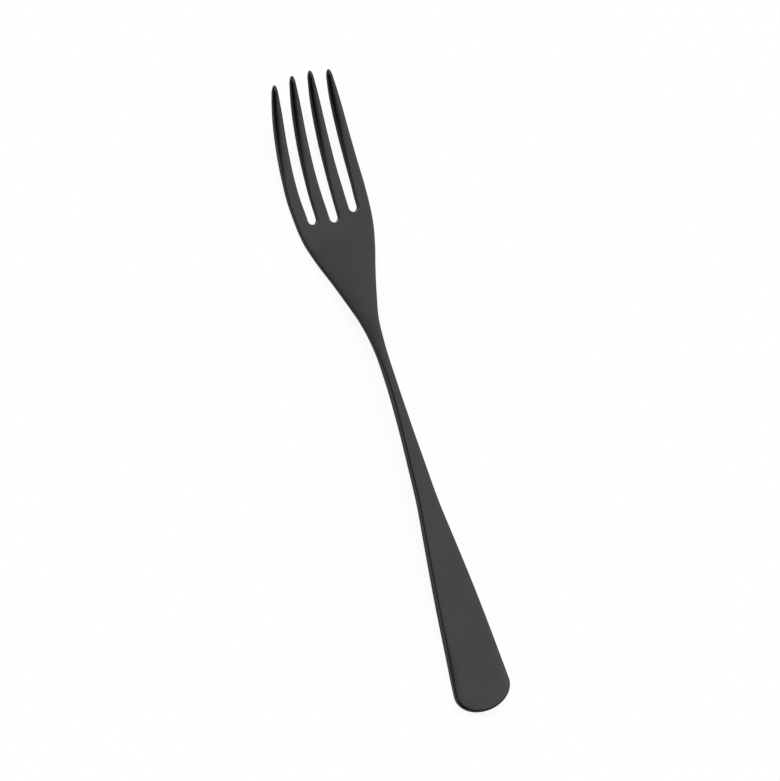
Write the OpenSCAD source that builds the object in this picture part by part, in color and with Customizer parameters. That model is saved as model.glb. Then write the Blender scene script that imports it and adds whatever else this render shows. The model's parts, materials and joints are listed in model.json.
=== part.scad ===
// Dinner fork with four tines, lying on a table with its hollow side up.
// The real fork is one piece of steel with a thin black coating. Here it is cut across into a handle,
// a neck, a head and four tines, which meet face to face and fill the same space as the whole fork.
// X runs across the fork, Y runs from the handle's end towards the tines, and Z points up.
// The origin is on the table, under the middle of the fork's length and width.

/* [Handle] */
// Length of the handle, from its round end to the start of the neck
handle_l = 67; // [55:0.5:80]
// Width that the handle's sides would reach at the very end, if the end were not round
handle_w = 20.8; // [15:0.1:26]
// Length of the handle's round end
handle_end_l = 7.5; // [5:0.1:12]
// Thickness of the handle near its end
end_t = 2.25; // [1.8:0.05:3.6]
// Thickness of the handle further along
handle_t = 2.6; // [2:0.05:4]
// Radius of the polished edge round the handle's end
end_edge_r = 0.75; // [0.3:0.05:1]
// Radius of the polished edges along the handle
handle_edge_r = 0.8; // [0.3:0.05:1]

/* [Neck] */
// Length of the neck, from the handle to the start of the shoulders
neck_l = 52; // [40:0.5:65]
// Width where the handle runs into the neck
throat_w = 7.2; // [5:0.1:10]
// Thickness where the handle runs into the neck
throat_t = 2.4; // [1.8:0.05:3.6]
// Radius of the edges where the handle runs into the neck
throat_edge_r = 0.7; // [0.3:0.05:1]
// Width of the neck at its narrowest
neck_w = 3.25; // [2.6:0.05:5]
// Thickness of the neck at its narrowest
neck_t = 2.8; // [2.2:0.05:5]
// Radius of the neck's edges
neck_edge_r = 0.85; // [0.3:0.05:1.1]
// Height of the neck's crest above the line between the two places that the fork rests on
crest_rise = 3.85; // [2:0.05:8]

/* [Head] */
// Length of the head, from the neck to where the tines stand free
head_l = 44; // [35:0.5:55]
// Width at the start of the shoulders
shoulder_w = 4.3; // [3.2:0.1:6]
// Thickness at the start of the shoulders
shoulder_t = 1.75; // [1.4:0.05:3.2]
// Width across the roots of the tines
head_w = 26.5; // [23:0.1:32]
// Thickness of the head
head_t = 1.65; // [1.4:0.05:3.2]
// Radius of the head's edges
head_edge_r = 0.55; // [0.2:0.05:0.7]
// Radius of the edges at the roots of the tines
root_edge_r = 0.5; // [0.2:0.05:0.7]
// Width of the round ends of the slots between the tines
slot_end_w = 3.25; // [2.6:0.05:3.6]
// How far the two outer slots reach into the head
outer_slot_l = 3.3; // [2.5:0.1:6]
// How far the middle slot reaches into the head
middle_slot_l = 4.65; // [2.5:0.05:8]

/* [Tines] */
// Length of the two inner tines
inner_tine_l = 42.2; // [34:0.1:52]
// Length of the two outer tines
outer_tine_l = 41; // [34:0.1:52]
// Width of the inner tines at their roots
inner_tine_w = 4.05; // [3.2:0.05:4.6]
// Width of the outer tines at their roots
outer_tine_w = 4.25; // [3.2:0.05:4.8]
// Width that the tines taper to, before their tips are rounded
tine_tip_w = 1.75; // [1:0.05:2.4]
// Thickness of the tines at mid-length
tine_mid_t = 2.1; // [1.4:0.05:3]
// Thickness that the tines taper to, before their tips are rounded
tine_tip_t = 1.2; // [0.8:0.05:2]
// Radius of the tines' edges at mid-length
tine_edge_r = 0.65; // [0.3:0.05:1]
// Length of the rounded tips
tip_round_l = 2.2; // [1:0.1:4]
// Distance between neighbouring tips, centre to centre
tip_pitch = 6.35; // [4.5:0.05:8]
// Height of the tips above the head's underside, measured at mid-thickness
tip_rise = 8.2; // [3:0.1:14]

/* [Hidden] */

// Depth taken off underneath, which leaves the two flat places that the fork rests on
rest_flat = 0.05;
// Radius left on the edges of the slots where the tines start
slot_edge_r = 0.12;
// Distance between two rings of points along the fork
ring_gap = 2.2;
// Steps round each edge, along the handle's round end, and along a tip
edge_steps = 4;
end_steps = 9;
tip_steps = 6;
// Turn in degrees of the last ring at a round end, which leaves a small flat there instead of a point
end_turn = 7;
// Largest edge radius, as a share of the thickness or width that it rounds
edge_limit_share = 0.48;
// Smoothness of the slots' round ends
$fn = 48;
steel = "#474747";

// Places along the fork, from the handle's end
neck_y = handle_l;
head_y = neck_y + neck_l;
tine_y = head_y + head_l;
fork_l = tine_y + max(inner_tine_l, outer_tine_l);
root_pitch = (head_w - outer_tine_w) / 3;

// Each pair below is a share of the section's length, and a share of the way from its narrow to its wide end
handle_width_shares = [[0, 1], [0.17, 0.878], [0.3, 0.745], [0.6, 0.449], [0.84, 0.183], [1, 0]];
neck_width_shares = [[0.25, 0.58], [0.5, 0.21], [0.75, 0]];
head_width_shares = [
    [0, 0], [0.16, 0.09], [0.32, 0.277], [0.5, 0.518], [0.66, 0.75], [0.82, 0.924], [0.92, 0.976], [1, 1]
];
tine_width_shares = [[0, 1], [0.12, 0.975], [0.28, 0.865], [0.52, 0.76], [0.82, 0.53], [1, 0]];
// The same for the distance between tines, on the way from the tips' to the roots'
spread_shares = [[0, 1], [0.12, 1.135], [0.28, 1.087], [0.52, 0.845], [0.82, 0.335], [1, 0]];

// Each pair below is a share of the section's length, and a share of the crest's or the tips' rise
handle_rise_shares = [[0, 0], [0.12, 0], [0.33, 0.2], [0.6, 0.42], [0.9, 0.645]];
neck_rise_shares = [[0.25, 0.87], [0.5, 0.975], [0.71, 1], [1, 0.83]];
head_rise_shares = [[0.16, 0.61], [0.32, 0.445], [0.5, 0.28], [0.66, 0.14], [0.82, 0.012], [1, 0]];
tine_rise_shares = [[0.12, 0.006], [0.28, 0.066], [0.52, 0.268], [0.82, 0.684], [1, 1]];

// Shares of the handle's, neck's, head's and tines' lengths at which their thickness is stated
end_even_share = 0.2;
handle_even_share = 0.35;
throat_even_share = 0.4;
neck_thin_share = 0.75;
shoulder_share = 0.16;
palm_share = 0.66;
tine_mid_share = 0.52;

// Turns a table of shares into knots: places along the fork, and values between low and high
function knots(shares, start, span, low, high) =
    [for (s = shares) [start + s[0] * span, low + s[1] * (high - low)]];

width_knots = concat(
    knots(handle_width_shares, 0, handle_l, throat_w / 2, handle_w / 2),
    knots(neck_width_shares, neck_y, neck_l, neck_w / 2, throat_w / 2),
    knots(head_width_shares, head_y, head_l, shoulder_w / 2, head_w / 2)
);
rise_knots = concat(
    knots(handle_rise_shares, 0, handle_l, 0, crest_rise),
    knots(neck_rise_shares, neck_y, neck_l, 0, crest_rise),
    knots(head_rise_shares, head_y, head_l, 0, crest_rise),
    knots(tine_rise_shares, tine_y, inner_tine_l, 0, tip_rise)
);
// Places along the fork at which the thickness or the edges change
end_even_y = end_even_share * handle_l;
handle_even_y = handle_even_share * handle_l;
throat_even_y = neck_y + throat_even_share * neck_l;
neck_thin_y = neck_y + neck_thin_share * neck_l;
shoulder_y = head_y + shoulder_share * head_l;
palm_y = head_y + palm_share * head_l;
root_y = tine_y + shoulder_share * inner_tine_l;
tine_mid_y = tine_y + tine_mid_share * inner_tine_l;
inner_tip_y = tine_y + inner_tine_l;
thickness_knots = [
    [0, end_t],
    [end_even_y, end_t],
    [handle_even_y, handle_t],
    [neck_y, throat_t],
    [throat_even_y, throat_t],
    [neck_thin_y, neck_t],
    [head_y, shoulder_t],
    [shoulder_y, (shoulder_t + head_t) / 2],
    [palm_y, head_t],
    [tine_y, head_t],
    [tine_mid_y, tine_mid_t],
    [inner_tip_y, tine_tip_t]
];
edge_knots = [
    [0, end_edge_r],
    [end_even_y, end_edge_r],
    [handle_even_y, handle_edge_r],
    [neck_y, throat_edge_r],
    [throat_even_y, throat_edge_r],
    [neck_thin_y, neck_edge_r],
    [shoulder_y, head_edge_r],
    [palm_y, head_edge_r],
    [tine_y, root_edge_r],
    [tine_mid_y, tine_edge_r],
    [inner_tip_y, tine_edge_r]
];
slot_edge_knots = [
    [tine_y, slot_edge_r],
    [root_y, root_edge_r],
    [tine_mid_y, tine_edge_r],
    [inner_tip_y, tine_edge_r]
];

// A smooth curve through knots: the slope at each one is that of a parabola through it and its neighbours
function secant(k, i) = (k[i + 1][1] - k[i][1]) / (k[i + 1][0] - k[i][0]);
function slope(k, i) =
    i == 0 ? secant(k, 0)
    : i == len(k) - 1 ? secant(k, i - 1)
    : let (before = k[i][0] - k[i - 1][0], after = k[i + 1][0] - k[i][0])
      (after * secant(k, i - 1) + before * secant(k, i)) / (before + after);
function span_at(k, at, i = 0) = i >= len(k) - 2 || at < k[i + 1][0] ? i : span_at(k, at, i + 1);
function ease(t) = t * t * (3 - 2 * t);
function curve(k, at) =
    let (
        i = span_at(k, at),
        run = k[i + 1][0] - k[i][0],
        t = min(max((at - k[i][0]) / run, 0), 1)
    )
    k[i][1] + ease(t) * (k[i + 1][1] - k[i][1])
    + run * t * (1 - t) * ((1 - t) * slope(k, i) - t * slope(k, i + 1));

// Mid-thickness height above the table at a place y along the fork
function mid_height(y) =
    let (share = min(y / tine_y, 1))
    curve(rise_knots, y) + (end_t + share * (head_t - end_t)) / 2 - rest_flat;

// Distance of a tine's centre line from the fork's, and its width, at a place y along the fork
function tine_length(j) = j == 0 || j == 3 ? outer_tine_l : inner_tine_l;
function tine_root_w(j) = j == 0 || j == 3 ? outer_tine_w : inner_tine_w;
function tine_x(j, y) =
    (j - 1.5) * (tip_pitch + curve(spread_shares, (y - tine_y) / inner_tine_l) * (root_pitch - tip_pitch));
function tine_w(j, y) =
    tine_tip_w + curve(tine_width_shares, (y - tine_y) / tine_length(j)) * (tine_root_w(j) - tine_tip_w);

// Half of a section's outline, as steps in from the side and heights from mid-thickness, from top to bottom
function side_profile(t, r) = concat(
    [for (i = [0:edge_steps]) let (a = 90 - 90 * i / edge_steps) [r * (1 - cos(a)), t / 2 - r * (1 - sin(a))]],
    [for (i = [0:edge_steps]) let (a = 90 * i / edge_steps) [r * (1 - cos(a)), r * (1 - sin(a)) - t / 2]]
);

// A ring of points round the fork: down the right side and up the left, stepping in along each side's normal
function ring(y, left, right, t, left_r, right_r, inward = [1, 0]) =
    let (
        z = mid_height(y),
        right_side = side_profile(t, right_r),
        left_side = side_profile(t, left_r)
    )
    concat(
        [for (p = right_side) [right - inward[0] * p[0], y + inward[1] * p[0], z + p[1]]],
        [for (i = [len(left_side) - 1:-1:0]) let (p = left_side[i])
            [left + inward[0] * p[0], y + inward[1] * p[0], z + p[1]]]
    );
function edge_within(r, t, w) = min(r, edge_limit_share * t, edge_limit_share * w);
function body_ring(y, fullness = 1, inward = [1, 0]) =
    let (
        half = fullness * curve(width_knots, y),
        t = curve(thickness_knots, y),
        r = edge_within(curve(edge_knots, y), t, 2 * half)
    )
    ring(y, -half, half, t, r, r, inward);
function body_rings(from, to) =
    let (steps = ceil((to - from) / ring_gap))
    [for (i = [0:steps]) body_ring(from + (to - from) * i / steps)];

// The handle's end is half an ellipse, and its edges step in along the ellipse's normal
function end_normal(turn) =
    let (n = [sin(turn) / (handle_w / 2), cos(turn) / handle_end_l])
    n / norm(n);
function handle_end_rings() = [
    for (i = [0:end_steps - 1])
        let (turn = end_turn + (90 - end_turn) * i / end_steps)
        body_ring(handle_end_l * (1 - cos(turn)), sin(turn), end_normal(turn))
];

// A ring round tine j, where fullness shrinks it towards a round tip
function tine_ring(j, y, fullness = 1) =
    let (
        w = fullness * tine_w(j, y),
        t = fullness * curve(thickness_knots, y),
        edge = edge_within(curve(edge_knots, y), t, w),
        slot_edge = edge_within(curve(slot_edge_knots, y), t, w)
    )
    ring(
        y, tine_x(j, y) - w / 2, tine_x(j, y) + w / 2, t,
        j == 0 ? edge : slot_edge,
        j == 3 ? edge : slot_edge
    );
function tine_rings(j) =
    let (
        tip_y = tine_y + tine_length(j),
        round_y = tip_y - tip_round_l,
        steps = ceil((round_y - tine_y) / ring_gap)
    )
    concat(
        [for (i = [0:steps]) tine_ring(j, tine_y + (round_y - tine_y) * i / steps)],
        [for (i = [1:tip_steps])
            let (turn = 90 - (90 - end_turn) * i / tip_steps)
            tine_ring(j, round_y + tip_round_l * cos(turn), sin(turn))]
    );

// A solid skin over rings of points, closed at both ends by strips from the right side to the left
module loft(rings) {
    around = len(rings[0]);
    last = (len(rings) - 1) * around;
    skin = [
        for (i = [0:len(rings) - 2])
            for (k = [0:around - 1])
                let (a = i * around + k, b = i * around + (k + 1) % around)
                each [[a, b, b + around], [a, b + around, a + around]]
    ];
    ends = [
        for (k = [0:around / 2 - 2])
            let (a = k, b = k + 1, c = around - 2 - k, d = around - 1 - k)
            each [[a, d, c], [a, c, b], [last + a, last + c, last + d], [last + a, last + b, last + c]]
    ];
    polyhedron([for (r = rings) for (p = r) p], concat(skin, ends));
}

// Takes off what would reach below the table
module stood_on_table() {
    difference() {
        children();
        translate([-head_w, -fork_l, -head_t])
            cube([2 * head_w, 3 * fork_l, head_t]);
    }
}

// Centres the fork's length on the origin
module placed() {
    translate([0, -fork_l / 2, 0]) children();
}

// A cutter for the slot between tines j and j + 1, with a round end that opens to the gap between their roots
module slot_cutter(j) {
    left = tine_x(j, tine_y) + tine_w(j, tine_y) / 2;
    right = tine_x(j + 1, tine_y) - tine_w(j + 1, tine_y) / 2;
    middle = (left + right) / 2;
    round_y = tine_y - (j == 1 ? middle_slot_l : outer_slot_l) + slot_end_w / 2;
    translate([0, 0, -head_t])
        linear_extrude(3 * head_t)
            union() {
                translate([middle, round_y])
                    circle(d = slot_end_w);
                polygon([
                    [middle - slot_end_w / 2, round_y],
                    [left, tine_y],
                    [left, tine_y + head_t],
                    [right, tine_y + head_t],
                    [right, tine_y],
                    [middle + slot_end_w / 2, round_y]
                ]);
            }
}

module handle() {
    color(steel)
        placed()
            stood_on_table()
                loft(concat(handle_end_rings(), body_rings(handle_end_l, neck_y)));
}

module neck() {
    color(steel)
        placed()
            loft(body_rings(neck_y, head_y));
}

module head() {
    color(steel)
        placed()
            difference() {
                stood_on_table() loft(body_rings(head_y, tine_y));
                for (j = [0:2]) slot_cutter(j);
            }
}

module tine(j) {
    color(steel)
        placed()
            stood_on_table()
                loft(tine_rings(j));
}

handle();
neck();
head();
tine(0);  // tine_left_outer
tine(1);  // tine_left_inner
tine(2);  // tine_right_inner
tine(3);  // tine_right_outer
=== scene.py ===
"""A black-coated steel dinner fork: one seamless skin round the packed frame, its finish, and its stage."""
import json
import math

import bpy
import numpy as np
from bpy.props import FloatProperty, FloatVectorProperty, PointerProperty
from mathutils import Matrix, Vector
from mathutils.geometry import delaunay_2d_cdt


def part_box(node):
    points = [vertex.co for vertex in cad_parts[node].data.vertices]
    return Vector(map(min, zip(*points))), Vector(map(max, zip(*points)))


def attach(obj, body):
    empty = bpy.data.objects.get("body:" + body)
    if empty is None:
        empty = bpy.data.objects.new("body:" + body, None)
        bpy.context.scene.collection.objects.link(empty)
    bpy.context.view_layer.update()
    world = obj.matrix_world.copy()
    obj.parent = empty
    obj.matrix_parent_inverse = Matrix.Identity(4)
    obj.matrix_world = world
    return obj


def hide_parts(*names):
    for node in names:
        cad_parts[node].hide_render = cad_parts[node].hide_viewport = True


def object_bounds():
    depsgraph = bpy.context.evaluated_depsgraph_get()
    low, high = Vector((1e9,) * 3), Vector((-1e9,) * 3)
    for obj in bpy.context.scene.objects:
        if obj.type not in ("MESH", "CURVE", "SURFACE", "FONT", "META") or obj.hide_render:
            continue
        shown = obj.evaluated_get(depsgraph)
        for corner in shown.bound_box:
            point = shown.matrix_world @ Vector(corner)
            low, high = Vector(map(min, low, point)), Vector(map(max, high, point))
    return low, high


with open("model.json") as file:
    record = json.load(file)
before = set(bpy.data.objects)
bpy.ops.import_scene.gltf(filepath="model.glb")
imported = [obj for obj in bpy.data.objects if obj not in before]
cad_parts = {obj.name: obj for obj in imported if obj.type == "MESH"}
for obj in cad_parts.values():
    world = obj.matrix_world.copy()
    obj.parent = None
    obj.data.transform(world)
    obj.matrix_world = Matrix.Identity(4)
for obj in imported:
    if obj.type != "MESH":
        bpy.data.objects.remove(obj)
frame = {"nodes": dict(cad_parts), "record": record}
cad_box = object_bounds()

bl_info = {
    "name": "Dinner Fork",
    "version": (1, 0, 0),
    "blender": (4, 5, 0),
    "location": "View3D > Sidebar > Fork",
    "description": "Makes a black steel dinner fork, its finish and a studio stage",
    "category": "Add Mesh",
}

MM = 0.001
STEEL = frame["record"]["materials"][0]

# From the frame: places along the fork, which are the handle's end, the joins of the sections and the tips,
# and the head's width
END_Y = cad_box[0][1]
NECK_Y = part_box("neck")[0][1]
HEAD_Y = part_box("head")[0][1]
TINE_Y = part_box("tine_left_inner")[0][1]
INNER_TIP_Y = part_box("tine_left_inner")[1][1]
OUTER_TIP_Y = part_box("tine_left_outer")[1][1]
HEAD_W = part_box("head")[1][0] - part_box("head")[0][0]

# Each pair is a share of the section's length, and a share of the way from its low to its high value
HANDLE_WIDTH_SHARES = [[0, 1], [0.17, 0.878], [0.3, 0.745], [0.6, 0.449], [0.84, 0.183], [1, 0]]
NECK_WIDTH_SHARES = [[0.25, 0.58], [0.5, 0.21], [0.75, 0]]
HEAD_WIDTH_SHARES = [
    [0, 0], [0.16, 0.09], [0.32, 0.277], [0.5, 0.518], [0.66, 0.75], [0.82, 0.924], [0.92, 0.976], [1, 1],
]
TINE_WIDTH_SHARES = [[0, 1], [0.12, 0.975], [0.28, 0.865], [0.52, 0.76], [0.82, 0.53], [1, 0]]
SPREAD_SHARES = [[0, 1], [0.12, 1.135], [0.28, 1.087], [0.52, 0.845], [0.82, 0.335], [1, 0]]
HANDLE_RISE_SHARES = [[0, 0], [0.12, 0], [0.33, 0.2], [0.6, 0.42], [0.9, 0.645]]
NECK_RISE_SHARES = [[0.25, 0.87], [0.5, 0.975], [0.71, 1], [1, 0.83]]
HEAD_RISE_SHARES = [[0.16, 0.61], [0.32, 0.445], [0.5, 0.28], [0.66, 0.14], [0.82, 0.012], [1, 0]]
TINE_RISE_SHARES = [[0.12, 0.006], [0.28, 0.066], [0.52, 0.268], [0.82, 0.684], [1, 1]]

# Places where the thickness, the edges and the crown change, as shares of their section's length
HANDLE_THIN_SHARE = 0.2
HANDLE_EVEN_SHARE = 0.35
NECK_EVEN_SHARE = 0.4
NECK_THIN_SHARE = 0.75
SHOULDER_SHARE = 0.16
PALM_SHARE = 0.66
ROOT_SHARE = 0.16
TINE_MID_SHARE = 0.52
CROWN_START_SHARE = 0.2
CROWN_SHARE = 0.8

# The crown at the shoulders and at the tips, as a share of the palm's and of the tines'
SHOULDER_CROWN_SHARE = 0.4
TIP_CROWN_SHARE = 0.9

# The edges' radius stays under this share of the width and of the side's height
EDGE_LIMIT_SHARE = 0.48

# A tine's centre line lies this many spacings from the fork's middle line
OUTER_PLACE = 1.5
INNER_PLACE = 0.5

# Turn of the last outline point on each side of a tip, which leaves a flat end a fifth of a millimetre wide
TIP_TURN = math.radians(7)
TIP_CLOSED = math.cos(TIP_TURN)

# Points on half of the handle's round end, round a slot's end, on half a tip, and on each quarter circle of
# the edge
END_STEPS = 24
SLOT_STEPS = 20
TIP_STEPS = 12
EDGE_STEPS = 8

# The faces' grid: its step in mesh steps, and in its own steps the shift of every other row and the least
# depth inside the rim
GRID_STEP_SHARE = 1.4
GRID_SHIFT_SHARE = 0.5
GRID_DEPTH_SHARE = 0.6

# Points nearer the middle line than this lie on it, and points nearer each other than this are the same
ON_MIDDLE = 0.001 * MM
SAME_PLACE = 0.0001 * MM

# Tells the triangulation to keep the triangles inside the rim and no others
INSIDE_ONLY = 1

# The coating: a noise's middle value, width of a polishing line as a share of its length, the noises'
# detail, the cloud's cells per metre, how much roughness changes from a noise's 0 to its 1, and how far the
# tone swings to either side
NOISE_MIDDLE = 0.5
LINE_SHARE = 0.02
LINE_DETAIL = 2.0
LINE_ROUGHNESS = 0.05
CLOUD_SCALE = 90.0
CLOUD_DETAIL = 3.0
CLOUD_ROUGHNESS = 0.06
TONE_SWING = 0.06

# How much of the white floor each kind of ray sees
SEEING_RAYS = {"Is Camera Ray": 1.0, "Is Glossy Ray": 0.1, "Is Transmission Ray": 1.0}
WHITE = (1, 1, 1, 1)

# How far the floor lies under the places that the fork rests on
FLOOR_GAP = 0.05 * MM

# Degrees in a radian
DEGREES = 180 / math.pi

# The studio's light. LEVEL is a brightness, where 1 shows a white card as white. GAIN adds to it, and LOSS
# takes from it, for CORNER and HANDLE as a share of it. EDGE holds the two angles from straight up, in
# degrees, between which a light comes or goes. HEIGHT holds two heights, where the horizon is 0 and straight
# up is 1.
PANEL_LEVEL = 1.0
PANEL_EDGE = (-3, 12)
PANEL_GAIN = 0.3
PANEL_GAIN_EDGE = (30, 40)
PANEL_LOSS = 1.0
PANEL_LOSS_EDGE = (46, 62)
CORNER_LOSS = 0.45
CORNER_EDGE = (-14.5, -9)
LEFT_LEVEL = 0.06
LEFT_GAIN = 0.3
LEFT_GAIN_EDGE = (0, 60)
HANDLE_LOSS = 0.95
HANDLE_LOSS_EDGE = (18, 42)
HANDLE_LEVEL = 1.2
HANDLE_EDGE = (52, 64)
HANDLE_HEIGHT = (0.2, 0.45)
TIP_LEVEL = 5.0
TIP_EDGE = (28, 45)
TIP_HEIGHT = (0.28, 0.48)
GLOW_LEVEL = 0.35
GLOW_HEIGHT = (0.25, 0.45)

# The light overhead goes by the squares of the angles, so it is the same on both sides
OVERHEAD_LEVEL = 0.8
OVERHEAD_SIDE_SQUARE = (4, 30)
OVERHEAD_AHEAD_SQUARE = (100, 400)


def size(name, description, default):
    """A length that a user can change."""
    return FloatProperty(name=name, description=description, default=default, unit="LENGTH", precision=5)


class ForkSizes(bpy.types.PropertyGroup):
    """Widths, thicknesses and edges of the fork."""
    handle_w: size("Handle width", "Width that the handle's sides would reach at the very end", 20.8 * MM)
    handle_end_l: size("Round end", "Length of the handle's round end", 7.5 * MM)
    end_t: size("End thickness", "Thickness of the handle near its end", 2.25 * MM)
    handle_t: size("Handle thickness", "Thickness of the handle a third of the way from its end", 2.6 * MM)
    end_edge_r: size("End edge", "Radius of the edge round the handle's end", 0.75 * MM)
    handle_edge_r: size("Handle edge", "Radius of the edges along the handle", 0.65 * MM)
    throat_w: size("Throat width", "Width where the handle runs into the neck", 7.2 * MM)
    throat_t: size("Throat thickness", "Thickness where the handle runs into the neck", 2.4 * MM)
    neck_w: size("Neck width", "Width of the neck at its narrowest", 3.25 * MM)
    neck_t: size("Neck thickness", "Thickness of the neck at its narrowest", 2.8 * MM)
    throat_edge_r: size("Throat edge", "Radius of the edges where the handle runs into the neck", 0.7 * MM)
    neck_edge_r: size("Neck edge", "Radius of the neck's edges", 0.75 * MM)
    crest_rise: size("Crest rise", "How far mid-thickness rises up to the neck's crest", 3.85 * MM)
    shoulder_w: size("Shoulder width", "Width at the start of the shoulders", 4.3 * MM)
    shoulder_t: size("Shoulder thickness", "Thickness at the start of the shoulders", 1.75 * MM)
    head_w: size("Head width", "Width across the roots of the tines", HEAD_W)
    head_t: size("Head thickness", "Thickness of the head", 1.65 * MM)
    head_edge_r: size("Head edge", "Radius of the head's edges", 0.55 * MM)
    root_edge_r: size("Root edge", "Radius of the edges at the roots of the tines", 0.5 * MM)
    slot_end_w: size("Slot width", "Width of the slots' round ends", 3.25 * MM)
    outer_slot_l: size("Outer slot", "How far the outer slots reach into the head", 3.3 * MM)
    middle_slot_l: size("Middle slot", "How far the middle slot reaches into the head", 4.65 * MM)
    slot_edge_r: size("Slot edge", "Radius of the edges in the slots' round ends", 0.3 * MM)
    inner_tine_w: size("Inner tine width", "Width of the inner tines at their roots", 4.05 * MM)
    outer_tine_w: size("Outer tine width", "Width of the outer tines at their roots", 4.25 * MM)
    tine_tip_w: size("Tip width", "Width that the tines taper to", 1.75 * MM)
    tine_mid_t: size("Tine thickness", "Thickness of the tines at mid-length", 2.1 * MM)
    tine_tip_t: size("Tip thickness", "Thickness that the tines taper to", 1.2 * MM)
    tine_edge_r: size("Tine edge", "Radius of the tines' edges at mid-length", 0.55 * MM)
    tip_round_l: size("Tip rounding", "Length of the rounded tips", 2.2 * MM)
    tip_pitch: size("Tip spacing", "Distance between neighbouring tips", 6.35 * MM)
    tip_rise: size("Tip rise", "How far mid-thickness rises from the head to the inner tips", 8.2 * MM)
    rest_flat: size("Resting flats", "Depth worn off where the fork rests", 0.05 * MM)
    palm_crown: size("Palm crown", "How much higher the middle of the palm is than its sides", 0.12 * MM)
    tine_crown: size("Tine crown", "How much higher the middle of a tine is than its sides", 0.11 * MM)
    buffed_t: size("Buffing depth", "How far buffing lowers the faces at their edges", 0.03 * MM)
    buffed_w: size("Buffing width", "How far in from the edges the buffing reaches", 1.2 * MM)
    end_buffed_t: size("End buffing depth", "How far buffing lowers the handle's end at its edge", 0.2 * MM)
    end_buffed_w: size("End buffing width", "How far in the buffing at the handle's end reaches", 2.4 * MM)
    end_buffed_l: size("End buffing length", "How far along the handle that buffing fades out", 28 * MM)
    mesh_step: size("Mesh step", "Distance between points of the skin along the fork", 0.5 * MM)


class ForkFinish(bpy.types.PropertyGroup):
    """Colour and polish of the black steel."""
    colour: FloatVectorProperty(
        name="Coating colour", description="Colour of the black coating", subtype="COLOR",
        size=3, min=0, max=1, default=STEEL["base_color"],
    )
    roughness: FloatProperty(
        name="Roughness", description="Roughness of the polished coating", subtype="FACTOR",
        min=0, max=1, default=0.15,
    )
    edge_tint: FloatProperty(
        name="Edge reflection", subtype="FACTOR", min=0, max=1, default=0.55,
        description="How much the coating reflects at a glancing angle, against bare metal",
    )
    grain_t: size("Grain depth", "Depth of the fine polishing lines", 0.0004 * MM)
    grain_w: size("Grain width", "Distance between the fine polishing lines", 0.12 * MM)


class ForkStudio(bpy.types.PropertyGroup):
    """Camera, floor and light."""
    tilt: FloatProperty(
        name="Camera tilt", description="How far left of straight down the camera looks from",
        subtype="ANGLE", default=math.radians(26),
    )
    lean: FloatProperty(
        name="Camera lean", description="How far towards the tips the camera stands",
        subtype="ANGLE", default=math.radians(2.36),
    )
    roll: FloatProperty(
        name="Camera roll", description="How far left of upright the fork points in the picture",
        subtype="ANGLE", default=math.radians(17.43),
    )
    distance: size("Camera distance", "Distance from the camera to the place it looks at", 1500 * MM)
    aim: FloatVectorProperty(
        name="Aim", description="Place that the camera looks at", subtype="TRANSLATION",
        size=3, default=(0.11 * MM, 1.2 * MM, 2.03 * MM),
    )
    lens: FloatProperty(
        name="Lens", description="Focal length of the camera", unit="CAMERA", default=223.97,
    )
    floor_w: size("Floor", "Width of the floor", 30000 * MM)
    floor_colour: FloatVectorProperty(
        name="Floor colour", description="Colour of the floor", subtype="COLOR",
        size=3, min=0, max=1, default=(0.97, 0.97, 0.97),
    )
    shadow: FloatProperty(
        name="Shadow", description="How much of the fork's shadow shows on the white floor",
        subtype="FACTOR", min=0, max=1, default=0.08,
    )
    panel_turn: FloatProperty(
        name="Panel turn", subtype="ANGLE", default=math.radians(37),
        description="How far the long soft panel overhead is turned from the fork's length",
    )
    light: FloatProperty(name="Light", description="Brightness of the studio's soft panels", default=1.0)


def eased(t):
    """Goes from 0 to 1 with level ends: three times the square less twice the cube."""
    return t * t * (3 - 2 * t)


def at_share(start, end, share):
    """What lies a share of the way from start to end."""
    return start + share * (end - start)


def curve(table, at):
    """A smooth curve through a table of knots: between two knots a cubic, whose slope at a knot is that of
    the parabola through the knot and its neighbours, and at either end that of the straight line."""
    x, value = np.asarray(table, float).T
    run = np.diff(x)
    secant = np.diff(value) / run
    slope = np.concatenate([
        secant[:1],
        (run[1:] * secant[:-1] + run[:-1] * secant[1:]) / (run[:-1] + run[1:]),
        secant[-1:],
    ])
    i = np.clip(np.searchsorted(x, at, side="right") - 1, 0, len(run) - 1)
    t = np.clip((at - x[i]) / run[i], 0, 1)
    bent = run[i] * t * (1 - t) * ((1 - t) * slope[i] - t * slope[i + 1])
    return at_share(value[i], value[i + 1], eased(t)) + bent


def knots(shares, start, end, low, high):
    """Turns a table of shares into knots: places from start to end, and values from low to high."""
    return [[at_share(start, end, a), at_share(low, high, b)] for a, b in shares]


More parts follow.
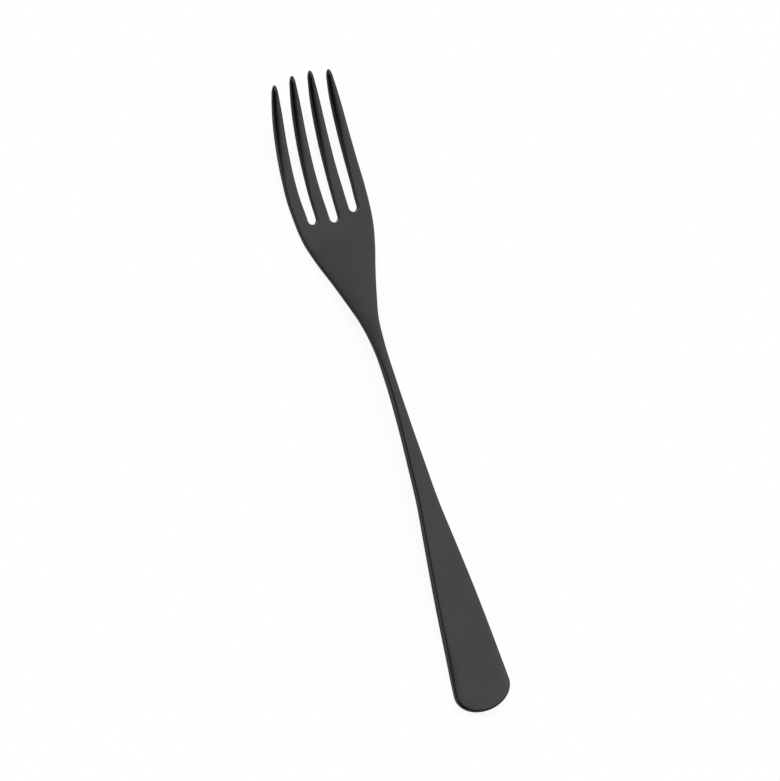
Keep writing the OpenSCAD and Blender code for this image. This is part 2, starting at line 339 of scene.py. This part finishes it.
class ForkForm:
    """The fork's widths, heights and edges as functions of the place y along it."""

    def __init__(self, s):
        self.s = s
        self.root_pitch = (s.head_w - s.outer_tine_w) / (2 * OUTER_PLACE)
        end_y = at_share(END_Y, NECK_Y, HANDLE_THIN_SHARE)
        handle_y = at_share(END_Y, NECK_Y, HANDLE_EVEN_SHARE)
        throat_y = at_share(NECK_Y, HEAD_Y, NECK_EVEN_SHARE)
        neck_thin_y = at_share(NECK_Y, HEAD_Y, NECK_THIN_SHARE)
        shoulder_y = at_share(HEAD_Y, TINE_Y, SHOULDER_SHARE)
        palm_y = at_share(HEAD_Y, TINE_Y, PALM_SHARE)
        root_y = at_share(TINE_Y, INNER_TIP_Y, ROOT_SHARE)
        crown_start_y = at_share(TINE_Y, INNER_TIP_Y, CROWN_START_SHARE)
        crown_y = at_share(TINE_Y, INNER_TIP_Y, CROWN_SHARE)
        tine_mid_y = at_share(TINE_Y, INNER_TIP_Y, TINE_MID_SHARE)
        self.widths = (
            knots(HANDLE_WIDTH_SHARES, END_Y, NECK_Y, s.throat_w / 2, s.handle_w / 2)
            + knots(NECK_WIDTH_SHARES, NECK_Y, HEAD_Y, s.neck_w / 2, s.throat_w / 2)
            + knots(HEAD_WIDTH_SHARES, HEAD_Y, TINE_Y, s.shoulder_w / 2, s.head_w / 2)
        )
        self.rises = (
            knots(HANDLE_RISE_SHARES, END_Y, NECK_Y, 0, s.crest_rise)
            + knots(NECK_RISE_SHARES, NECK_Y, HEAD_Y, 0, s.crest_rise)
            + knots(HEAD_RISE_SHARES, HEAD_Y, TINE_Y, 0, s.crest_rise)
            + knots(TINE_RISE_SHARES, TINE_Y, INNER_TIP_Y, 0, s.tip_rise)
        )
        self.thicknesses = [
            [END_Y, s.end_t], [end_y, s.end_t], [handle_y, s.handle_t], [NECK_Y, s.throat_t],
            [throat_y, s.throat_t], [neck_thin_y, s.neck_t], [HEAD_Y, s.shoulder_t],
            [shoulder_y, (s.shoulder_t + s.head_t) / 2], [palm_y, s.head_t], [TINE_Y, s.head_t],
            [tine_mid_y, s.tine_mid_t], [INNER_TIP_Y, s.tine_tip_t],
        ]
        self.outer_edges = [
            [END_Y, s.end_edge_r], [end_y, s.end_edge_r], [handle_y, s.handle_edge_r],
            [NECK_Y, s.throat_edge_r], [throat_y, s.throat_edge_r], [neck_thin_y, s.neck_edge_r],
            [shoulder_y, s.head_edge_r], [palm_y, s.head_edge_r], [TINE_Y, s.root_edge_r],
            [tine_mid_y, s.tine_edge_r], [INNER_TIP_Y, s.tine_edge_r],
        ]
        self.crowns = [
            [HEAD_Y, 0], [shoulder_y, SHOULDER_CROWN_SHARE * s.palm_crown], [palm_y, s.palm_crown],
            [TINE_Y - s.middle_slot_l, 0], [TINE_Y, 0], [crown_start_y, 0], [crown_y, s.tine_crown],
            [INNER_TIP_Y, TIP_CROWN_SHARE * s.tine_crown],
        ]
        self.slot_edges = [
            [TINE_Y, s.slot_edge_r], [root_y, s.root_edge_r],
            [tine_mid_y, s.tine_edge_r], [INNER_TIP_Y, s.tine_edge_r],
        ]

    def half_width(self, y):
        """From the middle line to the side of the handle, neck or head."""
        return curve(self.widths, y)

    def pitch(self, y):
        """Distance between the tines' centre lines."""
        way = (y - TINE_Y) / (INNER_TIP_Y - TINE_Y)
        return at_share(self.s.tip_pitch, self.root_pitch, curve(SPREAD_SHARES, way))

    def tine_width(self, y, outer):
        """Width of a tine before its tip is rounded."""
        way = (y - TINE_Y) / ((OUTER_TIP_Y if outer else INNER_TIP_Y) - TINE_Y)
        root_w = self.s.outer_tine_w if outer else self.s.inner_tine_w
        return at_share(self.s.tine_tip_w, root_w, curve(TINE_WIDTH_SHARES, way))

    def half_thickness(self, x, y, depth, side):
        """Height of the upper face over mid-thickness (side 1), or of mid-thickness over the lower face
        (side -1), at a depth in from the outline: half the thickness less the buffing, and on the upper
        side less the crown. At each tip it closes like an ellipse over the tip's rounding."""
        tip_y = np.where(np.abs(x) > self.pitch(y), OUTER_TIP_Y, INNER_TIP_Y)
        over = np.clip((y - tip_y) / self.s.tip_round_l + 1, 0, TIP_CLOSED)
        full = curve(self.thicknesses, y) / 2 - self.buffed(y, depth)
        if side > 0:
            full = full - self.crowned(x, y)
        return full * np.sqrt(1 - over ** 2)

    def middle(self, y):
        """Height of mid-thickness, which rests half a thickness above the table, less the worn flats."""
        share = np.clip((y - END_Y) / (TINE_Y - END_Y), 0, 1)
        rest = at_share(self.s.end_t, self.s.head_t, share) / 2 - self.s.rest_flat
        return curve(self.rises, y) + rest

    def buffed(self, y, depth):
        """How far buffing lowers a face at a depth in from the outline: a bell curve, highest at the edge,
        which is deeper and wider round the handle's end."""
        s = self.s
        at_end = eased(np.clip(1 - (y - END_Y) / s.end_buffed_l, 0, 1))
        reach = at_share(s.buffed_w, s.end_buffed_w, at_end)
        return at_share(s.buffed_t, s.end_buffed_t, at_end) * np.exp(-(depth / reach) ** 2)

    def crowned(self, x, y):
        """How far the crown lowers the upper face: a parabola across the head or across the tine."""
        outer = np.abs(x) > self.pitch(y)
        tine_x = np.where(outer, OUTER_PLACE, INNER_PLACE) * self.pitch(y)
        tine_w = np.where(outer, self.tine_width(y, True), self.tine_width(y, False))
        across = np.where(y < TINE_Y, x / self.half_width(y), (np.abs(x) - tine_x) / (tine_w / 2))
        return curve(self.crowns, y) * across ** 2


def along(start, end, step):
    """Evenly spaced places from start up to, but not including, end: at most a step apart, and at least
    two."""
    count = max(2, math.ceil(abs(end - start) / step))
    return start + (end - start) * np.arange(count) / count


def handle_side(form):
    """Right side from the middle of the handle's end to the tines. The end is half an ellipse: across it
    goes with the sine of a turn, and along it with one less the cosine."""
    s = form.s
    turn = np.arange(END_STEPS) / END_STEPS * math.pi / 2
    end_y = END_Y + s.handle_end_l * (1 - np.cos(turn))
    side_y = along(END_Y + s.handle_end_l, TINE_Y, s.mesh_step)
    y = np.concatenate([end_y, side_y])
    x = form.half_width(y) * np.concatenate([np.sin(turn), np.ones(len(side_y))])
    r = np.minimum(curve(form.outer_edges, y), EDGE_LIMIT_SHARE * 2 * form.half_width(y))
    return np.stack([x, y, r], 1)


def tine_loop(form, outer):
    """Up a right-hand tine's right edge, round its tip, and down its left edge. Past the place where the
    rounding starts, the width goes with the sine of a turn and the length with its cosine. The edges'
    radius stays under a share of the width."""
    s = form.s
    tip_y = OUTER_TIP_Y if outer else INNER_TIP_Y
    round_l = s.tip_round_l / TIP_CLOSED
    round_y = tip_y - s.tip_round_l
    side_y = along(TINE_Y, round_y, s.mesh_step)
    turn = np.linspace(math.pi / 2, TIP_TURN, TIP_STEPS)
    y = np.concatenate([side_y, round_y + round_l * np.cos(turn)])
    fullness = np.concatenate([np.ones(len(side_y)), np.sin(turn)])
    width = fullness * form.tine_width(y, outer)
    centre = (OUTER_PLACE if outer else INNER_PLACE) * form.pitch(y)
    limit = EDGE_LIMIT_SHARE * width
    right_r = curve(form.outer_edges if outer else form.slot_edges, y)
    left_r = curve(form.slot_edges, y)
    up = np.stack([centre + width / 2, y, np.minimum(right_r, limit)], 1)
    down = np.stack([centre - width / 2, y, np.minimum(left_r, limit)], 1)
    return np.concatenate([up, down[::-1]])


def slot_loop(form, outer):
    """Down a slot's right edge, round its end on a half circle, and up its left edge."""
    s = form.s
    right_w = s.outer_tine_w if outer else s.inner_tine_w
    right = form.root_pitch * (OUTER_PLACE if outer else INNER_PLACE) - right_w / 2
    left = form.root_pitch * (INNER_PLACE if outer else -INNER_PLACE) + s.inner_tine_w / 2
    centre = (left + right) / 2
    r = s.slot_end_w / 2
    round_y = TINE_Y - (s.outer_slot_l if outer else s.middle_slot_l) + r
    turn = np.linspace(0, math.pi, SLOT_STEPS)
    way = along(0, 1, s.mesh_step / (TINE_Y - round_y))[1:]
    x = np.concatenate([
        at_share(right, centre + r, way), centre + r * np.cos(turn), at_share(centre - r, left, way),
    ])
    y = np.concatenate([
        at_share(TINE_Y, round_y, way), round_y - r * np.sin(turn), at_share(round_y, TINE_Y, way),
    ])
    return np.stack([x, y, np.full(len(x), s.slot_edge_r)], 1)


def fork_outline(form):
    """The fork seen from above, counterclockwise: its right half and then its left half mirrored.
    Each point has its place and the radius of the edge there."""
    middle_slot = slot_loop(form, False)
    half_slot = middle_slot[middle_slot[:, 0] > ON_MIDDLE]
    right = np.concatenate([
        handle_side(form), tine_loop(form, True), slot_loop(form, True), tine_loop(form, False), half_slot,
    ])
    left = right[:0:-1] * [-1, 1, 1]
    return np.concatenate([right, left])


def inward_directions(outline):
    """Unit directions into the fork: the outline's slope, which is the parabola's through each point and
    its neighbours, turned a quarter to the left."""
    ahead = np.roll(outline, -1, 0) - outline
    behind = np.roll(ahead, 1, 0)
    a = np.linalg.norm(ahead, axis=1, keepdims=True)
    b = np.linalg.norm(behind, axis=1, keepdims=True)
    slope = ahead / a * b + behind / b * a
    slope /= np.linalg.norm(slope, axis=1, keepdims=True)
    return np.stack([-slope[:, 1], slope[:, 0]], 1)


def face_grid(form, rim, inward):
    """Points of a staggered grid that lie well inside a rim, and how deep. The depth of a point is its
    distance from the nearest rim point, measured along the direction inwards there."""
    step = GRID_STEP_SHARE * form.s.mesh_step
    low = rim.min(0)
    columns, rows = np.ceil((rim.max(0) - low) / step).astype(int)
    row, column = np.mgrid[0:rows, 0:columns]
    x = low[0] + (column + GRID_SHIFT_SHARE * (row % 2)) * step
    y = low[1] + row * step
    grid = np.stack([x, y], -1).reshape(-1, 2)
    gap = ((grid[:, None] - rim[None]) ** 2).sum(2)
    nearest = gap.argmin(1)
    depth = ((grid - rim[nearest]) * inward[nearest]).sum(1)
    keep = depth > GRID_DEPTH_SHARE * step
    return grid[keep], depth[keep], nearest[keep]


def edge_profiles(form, outline, inward):
    """The edge as a profile carried along the outline: on top a quarter circle, then the side, then a
    quarter circle below. The circles' radius, which comes second, stays under a share of the side's
    height."""
    plan = outline[:, :2]
    wall = sum(form.half_thickness(plan[:, 0], plan[:, 1], 0, side) for side in (1, -1))
    r = np.minimum(outline[:, 2], EDGE_LIMIT_SHARE * wall)
    turn = np.linspace(math.pi / 2, 0, EDGE_STEPS)
    inset = 1 - np.cos(turn)
    drop = 1 - np.sin(turn)
    places, heights = [], []
    for side, order in ((1, slice(None)), (-1, slice(None, None, -1))):
        depth = r[:, None] * inset[order]
        place = plan[:, None] + depth[..., None] * inward[:, None]
        half_t = form.half_thickness(place[..., 0], place[..., 1], depth, side)
        places.append(place)
        heights.append(form.middle(place[..., 1]) + side * (half_t - r[:, None] * drop[order]))
    return np.concatenate([np.concatenate(places, 1), np.concatenate(heights, 1)[..., None]], 2), r


def face_triangles(rim, grid):
    """Triangles between the rim's points, which come first, and the grid's."""
    points = [Vector(p) for p in np.concatenate([rim, grid])]
    _, _, triangles, origins, _, _ = delaunay_2d_cdt(
        points, [], [list(range(len(rim)))], INSIDE_ONLY, SAME_PLACE)
    return np.array([origin[0] for origin in origins])[np.array(triangles)]


def fork_skin(form):
    """Points and faces of the closed skin: the edge all round, and inside its rims the two faces, which
    follow the middle height plus or minus half the thickness."""
    outline = fork_outline(form)
    inward = inward_directions(outline[:, :2])
    edge, r = edge_profiles(form, outline, inward)
    count, steps = edge.shape[:2]
    i, k = np.mgrid[0:count, 0:steps - 1]
    a = i * steps + k
    b = (i + 1) % count * steps + k
    edge_faces = np.stack([a, a + 1, b + 1, b], -1).reshape(-1, 4)

    rim = edge[:, 0, :2]
    grid, depth, nearest = face_grid(form, rim, inward)
    depth += r[nearest]
    middle = form.middle(grid[:, 1])
    top, bottom = (
        np.column_stack([grid, middle + side * form.half_thickness(grid[:, 0], grid[:, 1], depth, side)])
        for side in (1, -1)
    )
    # Rim points are the edge's first and last steps, and the grid's points follow those of the edge
    first_top = count * steps
    first_bottom = first_top + len(grid)
    triangles = face_triangles(rim, grid)
    on_rim = triangles < count
    top_faces = np.where(on_rim, triangles * steps, triangles - count + first_top)
    bottom_faces = np.where(on_rim, triangles * steps + steps - 1, triangles - count + first_bottom)
    points = np.concatenate([edge.reshape(-1, 3), top, bottom])
    faces = edge_faces.tolist() + top_faces.tolist() + bottom_faces[:, ::-1].tolist()
    # Clipping to the frame's box leaves the two flats underneath that the fork rests on. It also takes about
    # a hundredth of a millimetre off the sides where the fork is widest.
    return np.clip(points, cad_box[0], cad_box[1]), faces


class Wire:
    """An output socket of a node tree. Sums, differences and products of wires and numbers add nodes."""

    def __init__(self, tree, socket=None):
        self.tree = tree
        self.socket = socket

    def node(self, kind, settings=None, sockets=None, out=0):
        """Adds a node, makes its settings, sets or links its sockets, and gives one of its outputs."""
        node = self.tree.nodes.new(kind)
        for name, value in (settings or {}).items():
            setattr(node, name, value)
        for name, value in (sockets or {}).items():
            if isinstance(value, Wire):
                self.tree.links.new(value.socket, node.inputs[name])
            else:
                node.inputs[name].default_value = value
        return Wire(self.tree, node.outputs[out] if len(node.outputs) else None)

    def maths(self, operation, *values):
        """One Math node, or a Vector Math node where the first value is a vector."""
        vector = isinstance(values[0], Wire) and values[0].socket.type == "VECTOR"
        kind = "ShaderNodeVectorMath" if vector else "ShaderNodeMath"
        return self.node(kind, {"operation": operation}, dict(enumerate(values)))

    def __add__(self, other):
        return self.maths("ADD", self, other)

    def __radd__(self, other):
        return self.maths("ADD", other, self)

    def __sub__(self, other):
        return self.maths("SUBTRACT", self, other)

    def __rsub__(self, other):
        return self.maths("SUBTRACT", other, self)

    def __mul__(self, other):
        return self.maths("MULTIPLY", self, other)

    def __rmul__(self, other):
        return self.maths("MULTIPLY", other, self)

    def between(self, low, high):
        """Rises smoothly from 0 where this wire is at low to 1 where it is at high."""
        return self.node(
            "ShaderNodeMapRange", {"interpolation_type": "SMOOTHSTEP"},
            {"Value": self, "From Min": low, "From Max": high, "To Min": 0.0, "To Max": 1.0})


def black_steel(finish):
    """Black coating on polished steel: metallic, with faint lengthwise polishing lines and slow changes of
    polish and tone."""
    material = bpy.data.materials.new("black_steel")
    material.use_nodes = True
    tree = material.node_tree
    tree.nodes.clear()
    start = Wire(tree)
    place = start.node("ShaderNodeTexCoord", out="Object")
    lines_place = start.node(
        "ShaderNodeMapping", None,
        {"Vector": place, "Scale": (1 / finish.grain_w, LINE_SHARE / finish.grain_w, 1 / finish.grain_w)})
    lines = start.node(
        "ShaderNodeTexNoise", None, {"Vector": lines_place, "Scale": 1.0, "Detail": LINE_DETAIL})
    cloud = start.node(
        "ShaderNodeTexNoise", None, {"Vector": place, "Scale": CLOUD_SCALE, "Detail": CLOUD_DETAIL})
    roughness = (finish.roughness + LINE_ROUGHNESS * (lines - NOISE_MIDDLE)
                 + CLOUD_ROUGHNESS * (cloud - NOISE_MIDDLE))
    darker, lighter = (
        (*(swing * c for c in finish.colour), 1) for swing in (1 - TONE_SWING, 1 + TONE_SWING)
    )
    tone = start.node(
        "ShaderNodeMix", {"data_type": "RGBA"}, {"Factor": cloud, "A": darker, "B": lighter}, out="Result")
    bump = start.node(
        "ShaderNodeBump", None, {"Height": lines, "Distance": finish.grain_t, "Strength": 1.0})
    shader = start.node("ShaderNodeBsdfPrincipled", None, {
        "Base Color": tone, "Metallic": 1.0, "Roughness": roughness, "Normal": bump,
        "Specular Tint": (*[finish.edge_tint] * 3, 1)})
    start.node("ShaderNodeOutputMaterial", None, {"Surface": shader})
    return material


class FORK_OT_skin(bpy.types.Operator):
    """Makes the fork's seamless steel skin and its black finish"""
    bl_idname = "fork.skin"
    bl_label = "Fork"

    def execute(self, context):
        scene = context.scene
        points, faces = fork_skin(ForkForm(scene.fork_sizes))
        mesh = bpy.data.meshes.new("fork")
        mesh.from_pydata(points, [], faces)
        mesh.shade_smooth()
        mesh.materials.append(black_steel(scene.fork_finish))
        piece = bpy.data.objects.new("fork", mesh)
        scene.collection.objects.link(piece)
        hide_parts(*frame["nodes"])
        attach(piece, "root")
        return {"FINISHED"}


def mixed(share, first, second):
    """Mix Shader: the first shader where the share is 0, the second where it is 1. Its two shader sockets
    have the same name, so they go by number."""
    return share.node("ShaderNodeMixShader", None, {0: share, 1: first, 2: second})


def floor_material(studio):
    """White with a share of the fork's shadow for all that look at it from above, and clear from below."""
    material = bpy.data.materials.new("floor")
    material.use_nodes = True
    tree = material.node_tree
    tree.nodes.clear()
    start = Wire(tree)
    white = start.node("ShaderNodeBsdfDiffuse", None, {"Color": (*studio.floor_colour, 1)})
    clear = start.node("ShaderNodeBsdfTransparent")
    bright = start.node("ShaderNodeEmission", None, {"Color": WHITE, "Strength": 1.0})
    seen = sum(
        share * start.node("ShaderNodeLightPath", out=ray)
        for ray, share in SEEING_RAYS.items()
    )
    under = start.node("ShaderNodeNewGeometry", out="Backfacing")
    shader = mixed(under, mixed((1 - studio.shadow) * seen, white, bright), clear)
    start.node("ShaderNodeOutputMaterial", None, {"Surface": shader})
    return material


def studio_light(studio):
    """Soft light by direction. A long panel, turned from the fork's length and dimmer on its side towards
    the tips, reaches from overhead to the right, and the left is dark. The handle's side is darker too, but
    for a light low over its end. The other lights are one past the tips, a small one straight overhead and
    a glow at the horizon. The angles are arc sines and arc tangents of the direction's parts."""
    world = bpy.data.worlds.new("studio")
    world.use_nodes = True
    tree = world.node_tree
    tree.nodes.clear()
    start = Wire(tree)
    direction = start.node("ShaderNodeTexCoord", out="Generated")
    parts = start.node("ShaderNodeSeparateXYZ", None, {"Vector": direction})
    x, y, z = (Wire(tree, parts.socket.node.outputs[name]) for name in "XYZ")
    turn = studio.panel_turn
    across = DEGREES * start.maths("ARCTAN2", math.cos(turn) * x + math.sin(turn) * y, z)
    corner = DEGREES * start.maths("ARCTAN2", y - x, z * math.sqrt(2))
    side = DEGREES * start.maths("ARCTAN2", x, z)
    ahead = DEGREES * start.maths("ARCSINE", y)
    behind = -1 * ahead
    panel = across.between(*PANEL_EDGE) * (1 - CORNER_LOSS * corner.between(*CORNER_EDGE))
    right = (PANEL_LEVEL + PANEL_GAIN * side.between(*PANEL_GAIN_EDGE)
             - PANEL_LOSS * side.between(*PANEL_LOSS_EDGE))
    left = LEFT_LEVEL + LEFT_GAIN * (-1 * side).between(*LEFT_GAIN_EDGE)
    dim = 1 - HANDLE_LOSS * behind.between(*HANDLE_LOSS_EDGE)
    at_handle = HANDLE_LEVEL * behind.between(*HANDLE_EDGE) * z.between(*HANDLE_HEIGHT)
    at_tips = TIP_LEVEL * ahead.between(*TIP_EDGE) * z.between(*TIP_HEIGHT)
    glow = GLOW_LEVEL * (1 - z.between(*GLOW_HEIGHT))
    overhead = (OVERHEAD_LEVEL * (1 - (side * side).between(*OVERHEAD_SIDE_SQUARE))
                * (1 - (ahead * ahead).between(*OVERHEAD_AHEAD_SQUARE)))
    wide = dim * (left * (1 - panel) + right * panel)
    strength = studio.light * (wide + at_tips + at_handle + glow + overhead)
    background = start.node("ShaderNodeBackground", None, {"Color": WHITE, "Strength": strength})
    start.node("ShaderNodeOutputWorld", None, {"Surface": background})
    return world


def studio_floor(studio):
    """A square floor, just clear of the places that the fork rests on."""
    half = studio.floor_w / 2
    corners = [(-half, -half), (half, -half), (half, half), (-half, half)]
    mesh = bpy.data.meshes.new("floor")
    mesh.from_pydata([(x, y, -FLOOR_GAP) for x, y in corners], [], [(0, 1, 2, 3)])
    mesh.materials.append(floor_material(studio))
    return bpy.data.objects.new("floor", mesh)


def studio_camera(studio):
    """A camera at its distance from the aim. Back from the aim it leans left of straight up by the tilt
    and towards the tips by the lean, and the roll then turns it about that direction."""
    back = Vector((
        -math.sin(studio.tilt) * math.cos(studio.lean),
        math.sin(studio.lean),
        math.cos(studio.tilt) * math.cos(studio.lean),
    ))
    level = Vector((0, 1, 0)).cross(back).normalized()
    up = back.cross(level)
    right = level * math.cos(studio.roll) - up * math.sin(studio.roll)
    upright = up * math.cos(studio.roll) + level * math.sin(studio.roll)
    place = Matrix.Translation(Vector(studio.aim) + back * studio.distance)
    camera = bpy.data.objects.new("camera", bpy.data.cameras.new("camera"))
    camera.data.lens = studio.lens
    camera.matrix_world = place @ Matrix((right, upright, back)).transposed().to_4x4()
    return camera


class FORK_OT_stage(bpy.types.Operator):
    """Makes the floor, the soft light and the camera"""
    bl_idname = "fork.stage"
    bl_label = "Stage"

    def execute(self, context):
        scene = context.scene
        studio = scene.fork_studio
        floor = studio_floor(studio)
        scene.collection.objects.link(floor)
        scene.world = studio_light(studio)
        camera = studio_camera(studio)
        scene.collection.objects.link(camera)
        scene.camera = camera
        scene.view_settings.view_transform = "Standard"
        return {"FINISHED"}


class FORK_PT_sidebar(bpy.types.Panel):
    """Lists the fork's pieces, sizes, finish and studio"""
    bl_label = "Dinner Fork"
    bl_space_type = "VIEW_3D"
    bl_region_type = "UI"
    bl_category = "Fork"

    def draw(self, context):
        layout = self.layout
        for operator in OPERATORS:
            layout.operator(operator.bl_idname)
        for name, group in GROUPS.items():
            box = layout.box()
            box.label(text=group.__doc__)
            for value in group.__annotations__:
                box.prop(getattr(context.scene, name), value)


GROUPS = {"fork_sizes": ForkSizes, "fork_finish": ForkFinish, "fork_studio": ForkStudio}
OPERATORS = [FORK_OT_stage, FORK_OT_skin]


def register():
    """Adds the classes, and the sizes, finish and studio to the scene."""
    for part in (*GROUPS.values(), *OPERATORS, FORK_PT_sidebar):
        bpy.utils.register_class(part)
    for name, group in GROUPS.items():
        setattr(bpy.types.Scene, name, PointerProperty(type=group))


def unregister():
    """Takes away what register adds."""
    for name in GROUPS:
        delattr(bpy.types.Scene, name)
    for part in (FORK_PT_sidebar, *reversed(OPERATORS), *reversed(GROUPS.values())):
        bpy.utils.unregister_class(part)


def main():
    """Makes the fork and its stage."""
    register()
    bpy.ops.fork.stage()
    bpy.ops.fork.skin()


if __name__ == "__main__":
    main()
